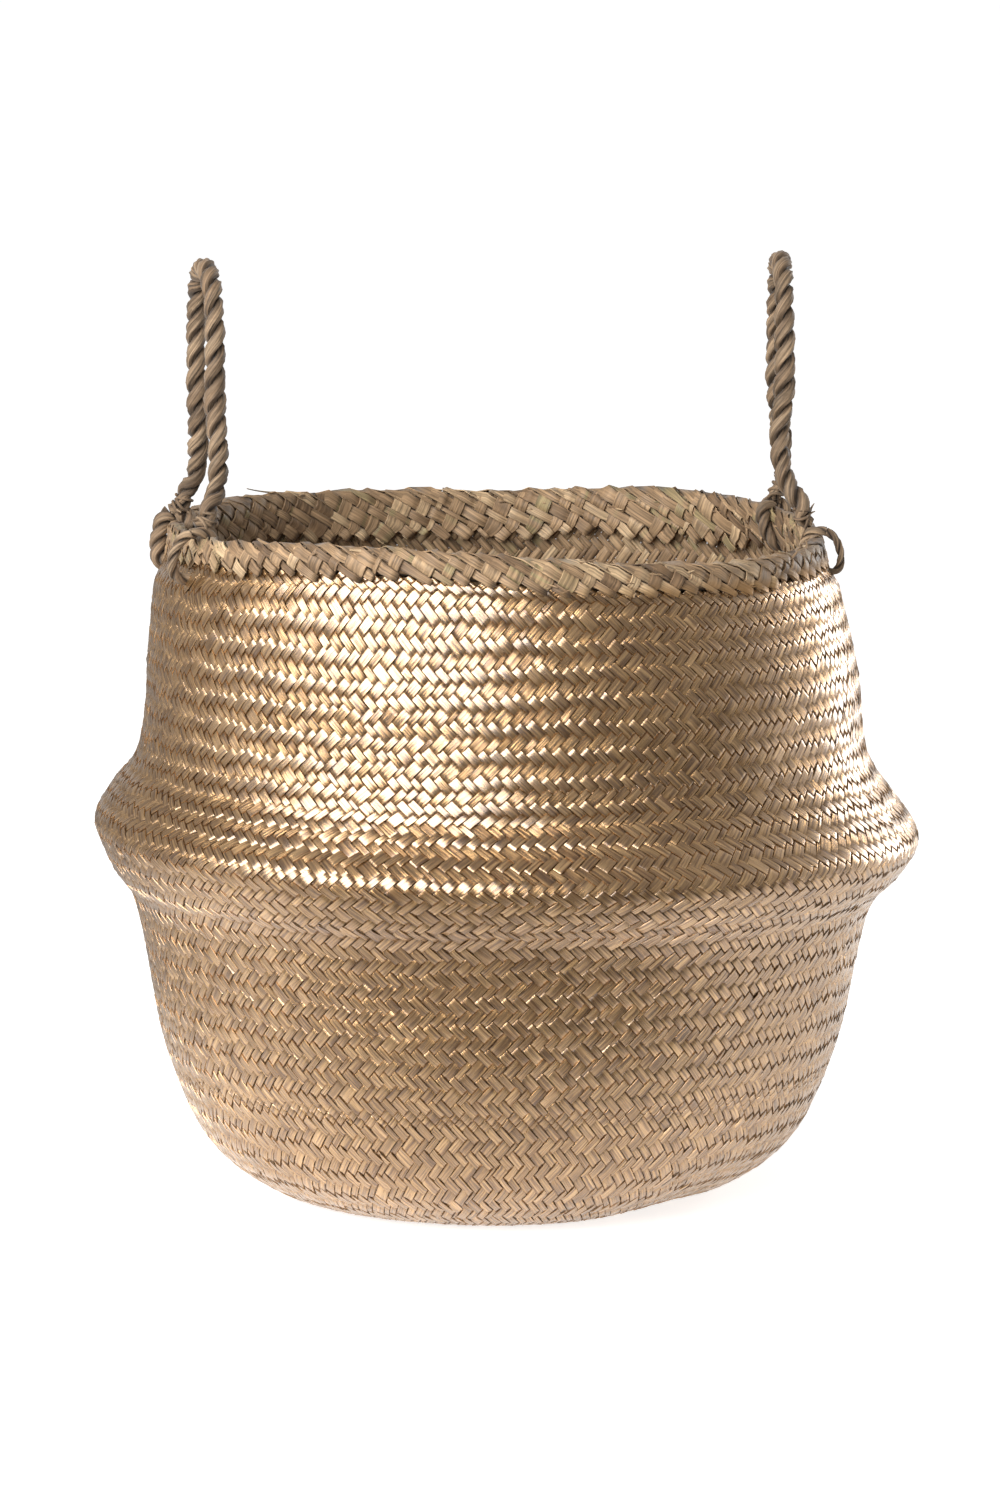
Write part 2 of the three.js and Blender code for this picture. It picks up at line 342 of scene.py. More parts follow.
def ribbons(
    out, ids, first, signs, edges, rising, place, half, relief, seed, cell, slack=0.018, bend=0.09, ragged=0.0
):
    """Adds the strands ids of one family, from row first on, over or under as signs says.

    edges holds how far the lattice lines of both families are moved, so strands differ in width.
    rising strands climb to the right seen from outside, the others to the left. half is half their
    thickness and cell a cell's length, in mm. slack is the share of its width that a strand leaves
    free at each side, and bend how unevenly it lies. ragged is how much its ends differ in length,
    in cells; such ends taper too.
    """
    draw = np.random.default_rng(seed)
    count = len(edges[0])
    steps, level = rise(signs)
    b, lift = np.transpose(SECTION)
    gap = draw.uniform(0.3 * slack, 1.7 * slack, (len(ids), 1, 1))
    to_end = np.minimum(steps, steps[-1] - steps)
    taper = 1 - (ragged > 0) * 0.3 * np.clip(1.1 - to_end, 0, 1)[None, :, None]
    across = 0.5 + (b - 0.5) * (1 - 2 * gap) * taper
    own = np.array(ids)[:, None, None]
    along = (first + steps)[None, :, None] + 0 * across
    along[:, 0] += draw.uniform(0, 1, (len(ids), 1)) * ragged
    along[:, -1] -= draw.uniform(0, 1, (len(ids), 1)) * ragged

    def moved(line, table):
        whole = np.floor(line).astype(int)
        part = line - whole
        return line + table[whole % count] * (1 - part) + table[(whole + 1) % count] * part

    if rising:
        s, t = own + along, own + across + 0 * along
    else:
        s, t = own + across + 0 * along, own - along
    s, t = moved(s, edges[0]), moved(t, edges[1])
    each = (len(ids), len(steps), 1)
    bow = draw.normal(0, bend, each)
    tilt = draw.normal(0, 0.55, each) * (b - 0.5)
    height = relief * (level[None, :, None] + bow) + half * (lift + tilt)
    points = place((s + t) / 2, (s - t) / 2, height)
    tint = draw.uniform(0, 1, (len(ids), 1, 1)) + draw.normal(0, 0.05, each)
    # Each strand reads its fibre from another place of the pattern
    start = draw.uniform(0, 400, len(ids))[:, None] + steps[None, :] * cell
    girth = cell * np.array([0.0, 0.1, 0.95, 1.05, 1.25, 1.85, 2.05])
    out.add(points, start, girth[None, :] + np.array(ids)[:, None] * FIBRE_STEP, tint, SHOULDERS)


# The two families of strands, and whether they climb to the right seen from outside
FAMILIES = {"rising": True, "falling": False}


def twill(row):
    """Over two, under two: 1 where the rising strand is on top in that row of cells."""
    return 1 if row % 4 in (0, 1) else -1


def uneven(draw, spread_by, count, limit):
    """How far count lattice lines are moved, in cells."""
    return np.clip(draw.normal(0, spread_by, count), -limit, limit)


# Height of the rows that run on under the rim, and how deep the strands lie in the wall, in mm
ROW_UNDER_RIM = 3.6
BEDDED = 0.75


class Body:
    """The body's lattice: where each row of the twill lies on the outer line."""

    def __init__(self, plait):
        self.strands = plait.strands
        self.width = plait.strand_width / MM
        self.half = plait.strand_thickness / MM / 2
        self.relief = plait.relief / MM
        draw = np.random.default_rng(11)
        self.edges = [uneven(draw, plait.unevenness, self.strands, 0.37) for _ in (0, 1)]
        self.line = Line(catmull(STATIONS, 40))
        pitch = TURN * self.line.points[:, 0] / self.strands
        steep = np.maximum(self.width**-2 - pitch**-2.0, (plait.longest_row / MM) ** -2)
        climb = np.diff(self.line.along) * np.sqrt((steep[1:] + steep[:-1]) / 2)
        rows = np.concatenate([[0], np.cumsum(climb)])
        self.rows = rows * (math.floor(2 * rows[-1]) / 2 / rows[-1])
        self.cells = math.floor(2 * self.rows[-1] + 0.5) + 4

    def cell_at(self, height):
        """The cell row, counted in half rows, that crosses a height on the body."""
        return 2 * np.interp(height, self.line.points[:, 1], self.rows)

    def place(self, columns, rows, level):
        """Points in mm: columns and rows of the lattice, and height off the wall."""
        angle = TURN * columns / self.strands
        at = np.interp(rows, self.rows, self.line.along, left=-1, right=self.line.length)
        at = at + (rows > self.rows[-1]) * (rows - self.rows[-1]) * ROW_UNDER_RIM
        at = at + 0.7 * waves(angle, at, 5, 160) * np.sin(np.pi * np.clip(at / self.line.length, 0, 1))
        return settled(spread(self.line.place(angle, at, level - BEDDED)))

    def panel(self, name, low, high, material):
        """Both families of strands between two cell rows, as two pieces."""
        made = []
        ids = range(self.strands)
        for family, rising in FAMILIES.items():
            out = Strands()
            first = low if rising else low - 1
            signs = [twill(k) if rising else -twill(k) for k in range(low, high)]
            lie = (self.edges, rising, self.place, self.half, self.relief)
            ribbons(out, ids, first, signs, *lie, 40 + low + rising, BODY_CELL)
            made.append(out.piece(f"{name}_{family}", material))
        return made


# How this basket has settled, all in mm. Its middle leans sideways, by height
LEAN = ((0, 1.5), (60, 2.0), (120, 3.0), (150, 5.5), (175, 2.6), (215, 3.6), (255, 1.0), (287, 0.0))
SIDEWAYS = (0.980, -0.198)
# The body swells and narrows, and its rows drift up and down
SWELLING = 0.8
SWELLING_RADIUS = 150
ROW_DRIFT = 0.7
# The fold's crest stands a little high, and slopes down sideways
CREST_RISE = 1.2
CREST_SLOPE = 0.018
CREST_REACH = 26
# The bowl's foot is lifted off the floor at one side
LIFT = 4.5
LIFT_ANGLE = math.radians(-51.4)
LIFT_WIDTH = math.radians(22)
LIFT_HEIGHT = 15
LIFT_REACH = 25
# The laced ropes draw the mouth in at both handles, by height
PINCH = ((262, 0.0), (268, 2.2), (274, 5.2), (281, 6.8), (288, 7.2), (293, 5.5), (300, 0.0))
# The fold is pushed in above its crest at the front, so it juts out there, by height
PUSHED_IN = (
    (CREST, 0.0), (160, 2.0), (166, 4.4), (171, 5.0), (177, 4.6), (183, 2.4), (190, 0.4), (196, 0.0)
)
FRONT = math.radians(-98)
# How far the rim stands above or below its flat circle, by angle in degrees
RIM_WARP = (
    *((-180, 0.0), (-156, 0.0), (-140, 3.0), (-131, 3.8), (-115, 3.4), (-101, 1.2), (-81, -3.4)),
    *((-60, -5.6), (-40, -5.6), (-15, -4.0), (0, -2.0), (20, 1.0), (42, 3.5), (60, 2.2), (78, 0.2)),
    *((100, 1.5), (121, 3.0), (140, 2.0), (160, 0.5), (180, 0.0)),
)


def settled(points):
    """Hand-made unevenness of the whole body, in mm, gentler towards the rim."""
    angle = np.arctan2(points[..., 1], points[..., 0])
    height = points[..., 2]
    keep = np.clip((300 - height) / 120, 0.35, 1) * np.clip(height / 40, 0, 1)
    swell = 1 + SWELLING * waves(angle, height, 3, 420) * keep / SWELLING_RADIUS
    out = points * np.stack([swell, swell, np.ones_like(swell)], -1)
    across = out[..., 0] * SIDEWAYS[0] + out[..., 1] * SIDEWAYS[1]
    lean = np.interp(height, *np.transpose(LEAN))
    pinch = np.interp(height, *np.transpose(PINCH)) * np.cos(angle) ** 4
    pinch += np.interp(height, *np.transpose(PUSHED_IN)) * np.clip(np.cos(angle - FRONT), 0, 1)
    drawn = 1 - pinch / np.maximum(np.hypot(points[..., 0], points[..., 1]), 1)
    out[..., 0] *= drawn
    out[..., 1] *= drawn
    out[..., 0] += lean * SIDEWAYS[0]
    out[..., 1] += lean * SIDEWAYS[1]
    crest = np.exp(-(((height - CREST) / CREST_REACH) ** 2))
    aside = (angle - LIFT_ANGLE + math.pi) % TURN - math.pi
    out[..., 2] += ROW_DRIFT * waves(angle, 0 * height, 8, 100) * keep
    out[..., 2] += (CREST_RISE - CREST_SLOPE * across) * crest
    out[..., 2] += LIFT * np.exp(-((aside / LIFT_WIDTH) ** 2) - ((height - LIFT_HEIGHT) / LIFT_REACH) ** 2)
    part = np.clip((height - 232) / 40, 0, 1) * np.clip((312 - height) / 16, 0, 1)
    out[..., 2] += np.interp(np.degrees(angle), *np.transpose(RIM_WARP)) * part * part * (3 - 2 * part)
    out[..., 2] = np.maximum(out[..., 2], 0.15)
    return out


# The lacing holes: how far the plait is pushed open at one, and how far off that still shows
HOLES = [turn + side * EYE_ANGLE for turn in (0, math.pi) for side in (1, -1)]
HOLE_OPENING = 2.6
HOLE_REACH = 8.0


def spread(points):
    """Opens the plait round the four holes that the handles are laced through."""
    angle = np.arctan2(points[..., 1], points[..., 0])
    out = points.copy()
    for hole in HOLES:
        side = (angle - hole + math.pi) % TURN - math.pi
        run = side * RIM_MIDDLE
        climb = points[..., 2] - HOLE_HEIGHT
        away = np.hypot(run, climb) + 1e-6
        push = HOLE_OPENING * np.clip(1 - away / HOLE_REACH, 0, 1)
        turn = push * run / away / RIM_MIDDLE
        x, y = out[..., 0].copy(), out[..., 1].copy()
        out[..., 0] = x * np.cos(turn) - y * np.sin(turn)
        out[..., 1] = x * np.sin(turn) + y * np.cos(turn)
        out[..., 2] = out[..., 2] + push * climb / away
    return out


# Materials


def set_inputs(tree, node, inputs):
    """Sets a node's inputs to values, or links them to other nodes' outputs."""
    for key, value in inputs.items():
        if isinstance(value, bpy.types.NodeSocket):
            tree.links.new(value, node.inputs[key])
        else:
            node.inputs[key].default_value = value


def add_node(tree, kind, inputs=None, **settings):
    """One node with its settings and links."""
    node = tree.nodes.new(kind)
    for key, value in settings.items():
        setattr(node, key, value)
    set_inputs(tree, node, inputs or {})
    return node


def blank(name):
    """A material with an empty node tree."""
    material = bpy.data.materials.new(name)
    material.use_nodes = True
    material.node_tree.nodes.clear()
    return material, material.node_tree


# Noise cells in a mm along and across a strand: fibre lines 22 mm long and 0.95 mm apart, because
# real ones are 0.2 mm apart and too fine to show at this range, and patches 14 mm by 2 mm
FIBRE_LINES = ((0.045, 1.05, 1), 3, 0.6)
PATCHES = ((0.07, 0.5, 1), 2, 0.5)


def rush(name, stops, groove_shade_and_grain, crest_highlight_and_grain, patchy, roughness, bump):
    """A rush material, its node tree and its surface node.

    A strand's own tint picks its colour from the stops. Fibre lines multiply it by a colour from
    grooves to crests: fibre grain, with painted shade darkening the grooves and a painted highlight
    lightening the crests. They also stand up by bump, a strength and a height in mm. Patches multiply it by
    the range patchy, and their roughness runs over the range of that name.
    """
    material, tree = blank(name)
    uv = add_node(tree, "ShaderNodeUVMap", uv_map="Strand").outputs["UV"]
    noises = []
    for scale, detail, grain in (FIBRE_LINES, PATCHES):
        spot = add_node(tree, "ShaderNodeMapping", {"Vector": uv, "Scale": scale}).outputs["Vector"]
        inputs = {"Vector": spot, "Scale": 1, "Detail": detail, "Roughness": grain}
        noises.append(add_node(tree, "ShaderNodeTexNoise", inputs).outputs["Fac"])
    lines, patches = noises
    spans = []
    for value, low, high in ((lines, 0, 1), (patches, *patchy), (patches, *roughness)):
        inputs = {"Value": value, "From Min": 0.37, "From Max": 0.63, "To Min": low, "To Max": high}
        spans.append(add_node(tree, "ShaderNodeMapRange", inputs).outputs["Result"])
    depth, mottle, rough = spans
    # Fibre grain, with painted shade in the grooves and a painted highlight on the crests
    relief = {"Factor": depth, 6: (*groove_shade_and_grain, 1), 7: (*crest_highlight_and_grain, 1)}
    relief = add_node(tree, "ShaderNodeMix", relief, data_type="RGBA").outputs[2]
    tint = add_node(tree, "ShaderNodeAttribute", attribute_name="tint").outputs["Fac"]
    tones = add_node(tree, "ShaderNodeValToRGB", {"Fac": tint})
    while len(tones.color_ramp.elements) < len(stops):
        tones.color_ramp.elements.new(0.5)
    for element, (position, rgb) in zip(tones.color_ramp.elements, stops):
        element.position = position
        element.color = (*rgb, 1)
    base = tones.outputs["Color"]
    for factor in (relief, mottle):
        inputs = {"Factor": 1.0, 6: base, 7: factor}
        base = add_node(tree, "ShaderNodeMix", inputs, data_type="RGBA", blend_type="MULTIPLY").outputs[2]
    strength, height = bump
    normal = {"Height": lines, "Strength": strength, "Distance": height * MM}
    normal = add_node(tree, "ShaderNodeBump", normal).outputs["Normal"]
    inputs = {"Base Color": base, "Roughness": rough, "Normal": normal}
    surface = add_node(tree, "ShaderNodeBsdfPrincipled", inputs)
    add_node(tree, "ShaderNodeOutputMaterial", {"Surface": surface.outputs["BSDF"]})
    return material, tree, surface


def gold_rush(colours):
    """Split rush sprayed with satin gold lacquer: fine metal flake over fibres, so light draws out
    across the fibre, and the two leans of strand brighten by turns. The fibre grooves are coloured
    brown as painted shade, and the crests paler as a painted highlight."""
    material, tree, surface = rush(
        "gold_lacquered_split_rush",
        [(0, colours.gold_dark), (0.45, colours.gold_mid), (1, colours.gold_light)],
        # Brown painted shade in the fibre grooves, and a paler painted highlight on their crests
        groove_shade_and_grain=(0.4, 0.32, 0.24),
        crest_highlight_and_grain=(1.32, 1.39, 1.46),
        patchy=(0.88, 1.06),
        roughness=(0.22, 0.31),
        bump=(0.65, 0.5),
    )
    tangent = add_node(tree, "ShaderNodeTangent", direction_type="UV_MAP", uv_map="Strand")
    lacquer = {
        "Metallic": 0.75,
        "Specular IOR Level": 1.0,
        "Specular Tint": (*colours.sheen, 1),
        "Anisotropic": 0.6,
        "Anisotropic Rotation": 0.25,
        "Tangent": tangent.outputs["Tangent"],
        "Coat Weight": 1.0,
        "Coat Roughness": 0.27,
        "Coat IOR": 1.85,
    }
    set_inputs(tree, surface, lacquer)
    return material


def dried_rush(colours, name):
    """Dried split rush: a matt, slightly waxy skin with long fibres, straw to green-brown."""
    material, tree, surface = rush(
        name,
        [
            (0, colours.straw_dark),
            (0.3, colours.straw_mid),
            (0.68, colours.straw_mid),
            (0.74, colours.straw_green),
            (0.8, colours.straw_mid),
            (1, colours.straw_light),
        ],
        groove_shade_and_grain=(0.5,) * 3,
        crest_highlight_and_grain=(1.28,) * 3,
        patchy=(0.78, 1.1),
        roughness=(0.5, 0.68),
        bump=(0.6, 0.4),
    )
    set_inputs(tree, surface, {"Metallic": 0.0, "Specular IOR Level": 0.35, "Sheen Weight": 0.08})
    return material, tree, surface


def bare_rush(colours):
    """Dried split rush as it comes, inside the basket and in the rim's core."""
    return dried_rush(colours, "bare_split_rush")[0]


# Heights between which the spray on the rim fades out, and how far up and down that drifts, in m
SPRAY_FADE = (0.262, 0.268)
SPRAY_DRIFT = 0.012


def gilded_rush(colours):
    """Dried split rush that caught some of the gold spray along the rim's lower edge. The can only
    reached what faces outwards."""
    material, tree, surface = dried_rush(colours, "gilded_rim_rush")
    place = add_node(tree, "ShaderNodeTexCoord").outputs["Object"]
    height = add_node(tree, "ShaderNodeSeparateXYZ", {"Vector": place}).outputs["Z"]
    drift = add_node(tree, "ShaderNodeTexNoise", {"Vector": place, "Scale": 60, "Detail": 3}).outputs["Fac"]
    edge = {0: drift, 1: -SPRAY_DRIFT, 2: height}
    edge = add_node(tree, "ShaderNodeMath", edge, operation="MULTIPLY_ADD").outputs[0]
    low, high = SPRAY_FADE
    spray = {"Value": edge, "From Min": low, "From Max": high, "To Min": 0.85, "To Max": 0.0}
    spray = add_node(tree, "ShaderNodeMapRange", spray).outputs["Result"]
    flat = add_node(tree, "ShaderNodeVectorMath", {0: place, 1: (1, 1, 0)}, operation="MULTIPLY")
    normal = add_node(tree, "ShaderNodeNewGeometry").outputs["Normal"]
    facing = {0: flat.outputs["Vector"], 1: normal}
    facing = add_node(tree, "ShaderNodeVectorMath", facing, operation="DOT_PRODUCT").outputs["Value"]
    spray = {"Value": facing, "From Min": -0.02, "From Max": 0.03, "To Max": spray}
    spray = add_node(tree, "ShaderNodeMapRange", spray).outputs["Result"]
    bare = surface.inputs["Base Color"].links[0].from_socket
    gilded = {"Factor": spray, 6: bare, 7: (*colours.gold_mid, 1)}
    gilded = add_node(tree, "ShaderNodeMix", gilded, data_type="RGBA").outputs[2]
    set_inputs(tree, surface, {"Base Color": gilded, "Metallic": spray})
    return material


def rope_rush(colours):
    """Hand-twisted rush rope: matt, fibrous, greyer than the plait where hands have worn it."""
    material, tree, surface = rush(
        "twisted_rush_rope",
        [(0, colours.rope_shade), (0.3, colours.rope_dark), (1, colours.rope_light)],
        groove_shade_and_grain=(0.45,) * 3,
        crest_highlight_and_grain=(1.3,) * 3,
        patchy=(0.75, 1.12),
        roughness=(0.6, 0.78),
        bump=(0.9, 0.6),
    )
    set_inputs(tree, surface, {"Specular IOR Level": 0.3, "Sheen Weight": 0.1})
    return material


MAKERS = {
    "gold_lacquered_split_rush": gold_rush,
    "bare_split_rush": bare_rush,
    "gilded_rim_rush": gilded_rush,
    "twisted_rush_rope": rope_rush,
}


def finish_of(outside, inside=None):
    """The materials of a strand's two sides, each made the first time it is asked for."""
    colours = bpy.context.scene.basket_colours
    names = (outside, inside or outside)
    return [bpy.data.materials.get(name) or MAKERS[name](colours) for name in names]


# Operators


class BASKET_OT_base(bpy.types.Operator):
    """Plaits the flat disc that the basket stands on"""

    bl_idname = "basket.base"
    bl_label = "Base"

    def execute(self, context):
        plait = context.scene.basket_plait
        width = plait.strand_width / MM
        half, relief = plait.strand_thickness / MM / 2, plait.relief / MM
        radius = STATIONS[0][0] + 1
        pitch = width * math.sqrt(2)
        draw = np.random.default_rng(7)
        lines = 97
        edges = [draw.normal(0, plait.unevenness, lines) for _ in (0, 1)]

        def place(columns, rows, level):
            flat = np.stack([-columns * pitch, rows * pitch, WALL / 2 - level], -1)
            far = np.hypot(flat[..., 0], flat[..., 1])
            flat[..., :2] *= np.minimum(1, (radius + 2) / np.maximum(far, 1e-6))[..., None]
            return flat

        out = Strands()
        reach = int(radius / width)
        for rising in FAMILIES.values():
            lie = (edges, rising, place, half, relief)
            for own in range(-reach, reach):
                # The strand lies at one distance from the centre and runs to the disc's edge
                off = (own + 0.5) * width
                run = int(math.sqrt(max(radius**2 - off**2, 0)) / width)
                if run < 1:
                    continue
                start = -run - own if rising else own - run
                cells = range(start, start + 2 * run)
                signs = [twill(k) if rising else -twill(k + 1) for k in cells]
                ribbons(out, [own], start, signs, *lie, 900 + 2 * own + rising, width)
        made = out.piece("base_plait", finish_of("gold_lacquered_split_rush", "bare_split_rush"))
        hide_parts("base")
        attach(made, "lower")
        return {"FINISHED"}


class BASKET_OT_body(bpy.types.Operator):
    """Plaits the bowl, the belly fold and the neck in one twill"""

    bl_idname = "basket.body"
    bl_label = "Bowl, belly and neck"

    def execute(self, context):
        body = Body(context.scene.basket_plait)
        finish = finish_of("gold_lacquered_split_rush", "bare_split_rush")
        foot = math.floor(body.cell_at(FOLD_FOOT)) - 1
        waist = math.ceil(body.cell_at(WAIST)) + 2
        middle = foot // 2
        parts = [
            ("bowl_foot", 0, middle, "lower_wall"),
            ("bowl_side", middle, foot, "lower_wall"),
            ("belly", foot, waist, "belly_fold"),
            ("neck", waist, body.cells, "upper_wall"),
        ]
        for name, low, high, node in parts:
            for made in body.panel(f"{name}_plait", low, high, finish):
                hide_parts(node)
                if name == "belly":
                    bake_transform(made)
                else:
                    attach(made, "upper" if name == "neck" else "lower")
        return {"FINISHED"}


def rim_line(inset):
    """The rim's section from the tooth tips up the outside, over the top and down the inside."""
    top, reach = RIM_TOP - RIM_EDGE, RIM_EDGE - inset
    up = [(RIM_MIDDLE + reach + 0.12 * max(0, 274 - z), z) for z in np.linspace(271.2, top, 12)]
    round_top = np.linspace(0, math.pi, 14)[1:-1]
    over = [(RIM_MIDDLE + reach * math.cos(a), top + reach * math.sin(a)) for a in round_top]
    down = [(RIM_MIDDLE - reach, z) for z in np.linspace(top, 269.5, 12)]
    return Line([*up, *over, *down])


class BASKET_OT_rim(bpy.types.Operator):
    """Plaits the rim: dog teeth outside, long strands turned over the top, and the same inside"""

    bl_idname = "basket.rim"
    bl_label = "Rim"

    def execute(self, context):
        rim = context.scene.basket_rim
        line = rim_line(1.1)
        row = rim.row / MM
        draw = np.random.default_rng(21)
        edges = [uneven(draw, 0.24, rim.teeth, 0.38) for _ in (0, 1)]

        def place(columns, rows, level):
            at = (2 * rows + 1) * row
            angle = TURN * columns / rim.teeth - rim.slant * np.clip(at, -row, line.length) / RIM_MIDDLE
            at = at + 0.9 * waves(angle, at, 15, 90)
            return settled(spread(line.place(angle, at, level)))

        rising_on_top = (1, 5, 7)
        last = round(line.length / row) + 1
        # The rising strands are narrower; the falling ones lie close, with ragged ends
        loose = {True: {"slack": 0.14, "ragged": 0.1}, False: {"slack": 0.05, "ragged": 0.45}}
        for family, rising in FAMILIES.items():
            out = Strands()
            signs = [1 if (k in rising_on_top) == rising else -1 for k in range(last)]
            lie = (edges, rising, place, rim.strand_thickness / MM / 2, rim.relief / MM)
            first = 0 if rising else -1
            seed = 60 + rising
            ribbons(out, range(rim.teeth), first, signs, *lie, seed, RIM_CELL, bend=0.25, **loose[rising])
            made = out.piece(f"rim_plait_{family}", finish_of("gilded_rim_rush"), 5.0)
            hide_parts("rim_braid")
            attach(made, "upper")
        self.straw_ends(line)
        self.core(rim_line(2.6))
        return {"FINISHED"}

    def straw_ends(self, line):
        """Cut ends that stand off the rim, and one long straw at its back."""
        draw = np.random.default_rng(77)
        out = Strands()
        ends = [(119.0, 129.5, 0.46, 0.02, 4.2)]
        for _ in range(70):
            where = draw.uniform(0, 360)
            far = draw.uniform(1.5, 4.5) * draw.choice([-1, 1])
            share, climb = draw.uniform(0.1, 0.8), draw.uniform(-0.06, 0.06)
            ends.append((where, where + far, share, climb, draw.uniform(1.4, 2.8)))
        q = np.linspace(0, 1, 8)
        for start, stop, share, climb, lift in ends:
            angle = np.radians(start + (stop - start) * q)
            points = settled(line.place(angle, (share + climb * q) * line.length, lift * q**1.5 - 0.6))
            width = np.linspace(0.55, 0.25, 8) * draw.uniform(0.8, 1.3)
            lie = (points, frames(points), width, travel(points))
            tube(out, *lie, sides=6, tint=draw.uniform(0, 1), flat=1.8)
        made = out.piece("rim_straw_ends", finish_of("gilded_rim_rush"), 6.0)
        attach(made, "upper")

    def core(self, line):
        """The dark core that the rim is plaited over."""
        out = Strands()
        at = np.linspace(5.5, line.length - 5.0, 24)
        angle = np.linspace(0, TURN, 177)
        ring = settled(line.place(angle[:, None], at[None, :], np.zeros((len(angle), len(at)))))
        out.add(ring[None], angle[None, :] * RIM_MIDDLE, np.linspace(0, 44, 25)[None, :], 0.1)
        made = out.piece("rim_core", finish_of("bare_split_rush"), 20.0)
        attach(made, "upper")


# Rope


def smooth_path(points, spacing=0.9):
    """A path of even steps through the points, and the length along it at each step."""
    fine = catmull(points, 24)
    along = travel(fine)
    even = np.linspace(0, along[-1], max(4, round(along[-1] / spacing)))
    return read(fine, along, even), even


def frames(points):
    """Two directions square to the path at each point, carried along it without twist."""
    ahead = np.gradient(points, axis=0)
    ahead /= np.linalg.norm(ahead, axis=1)[:, None]
    side = np.cross(ahead[0], (0.3, 1, 0.2))
    sides = []
    for way in ahead:
        side = side - way * np.dot(side, way)
        side /= np.linalg.norm(side)
        sides.append(side)
    sides = np.array(sides)
    return sides, np.cross(ahead, sides)


def tube(out, centre, ways, radius, along, sides, tint, turn=0.0, ribs=0, depth=0.0, draw=None, flat=1.0):
    """A closed tube round a path, with ribs along it, and flat times as wide in its second way."""
    angle = np.arange(sides) / sides * TURN
    size = radius[:, None] * (1 + depth * np.cos(ribs * angle))
    if draw is not None:
        size = size * (1 + draw.normal(0, 0.025, size.shape))
    spin = (angle[None, :] + turn)[..., None]
    ring = np.cos(spin) * ways[0][:, None] + flat * np.sin(spin) * ways[1][:, None]
    ring = centre[:, None] + size[..., None] * ring
    girth = np.linspace(0, TURN * radius.max(), sides + 1)
    out.add(ring[None, :, ::-1], along[None], girth[None], tint)


PLIES = 2
BUNDLES = 6
BUNDLE_SIDES = 3


def laid_rope(out, points, radius, lay, seed, spacing=0.9):
    """Plies laid round each other to the right, each of ribbed bundles of rush."""
    draw = np.random.default_rng(seed)
    path, along = smooth_path(points, spacing)
    a, b = frames(path)
    size = np.interp(along / along[-1], np.linspace(0, 1, len(radius)), radius)
    size = size * (1 + 0.05 * np.sin(along / 11 + draw.uniform(0, 6)) + 0.03 * np.sin(along / 4.1))
    sides = BUNDLES * BUNDLE_SIDES
    for ply in range(PLIES):
        phase = (TURN * (along / lay + ply / PLIES) + 0.25 * np.sin(along / 17 + seed))[:, None]
        out_way = np.cos(phase) * a + np.sin(phase) * b
        round_way = -np.sin(phase) * a + np.cos(phase) * b
        centre = path + out_way * (size * 0.47)[:, None]
        # A ply turns back against the lay, and its tint is darkened where it faces the other one: painted
        # shade between the plies
        turn = -0.6 * phase
        tint = np.repeat(draw.uniform(0.3, 1, BUNDLES), BUNDLE_SIDES) + draw.normal(0, 0.05, (len(along), 1))
        facing = np.cos(turn + np.arange(sides)[::-1] / sides * TURN)
        tint = (tint * np.clip((facing + 0.5) / 0.9, 0, 1))[None]
        read_from = along + draw.uniform(0, 500)
        lie = {"turn": turn, "ribs": BUNDLES, "depth": 0.13, "flat": 1.38}
        tube(out, centre, (out_way, round_way), size * 0.55, read_from, sides, tint, draw=draw, **lie)


# How far each grip has twisted about its own upright line; how far out its first and its last leg
# stand just above the rim, and how far in its ends lie on the rim's top, in mm
GRIPS = {"right": (math.radians(-9.3), 5.1, -2.6, 3.8), "left": (math.radians(1), 0.0, -0.8, 0.0)}
# How far inside the lacing holes the legs stand, in mm
LEG_INSET = 13.1
# The four laced eyes: middle and reach off the rim's middle, half height, thickness of the rope's own
EYES = {
    "left_back": (0.6, 6.8, 10.4, 1.4),
    "left_front": (3.2, 9.8, 9.8, 0.85),
    "right_front": (2.0, 7.6, 9.2, 0.66),
    "right_back": (0.0, 6.8, 9.4, 1.12),
}
# Length in which the eyes' plies go round once, in mm
EYE_LAY = 15.0


def ends_of(side):
    """The two ends of a side's rope, by name: 1 for the one that the rope starts from."""
    return (("back", 1), ("front", -1)) if side == "right" else (("front", 1), ("back", -1))


def placed(points, side):
    """Points made for the right side, settled into their place on either side."""
    return settled(np.array(points) * (np.array([-1, -1, 1]) if side == "left" else 1))


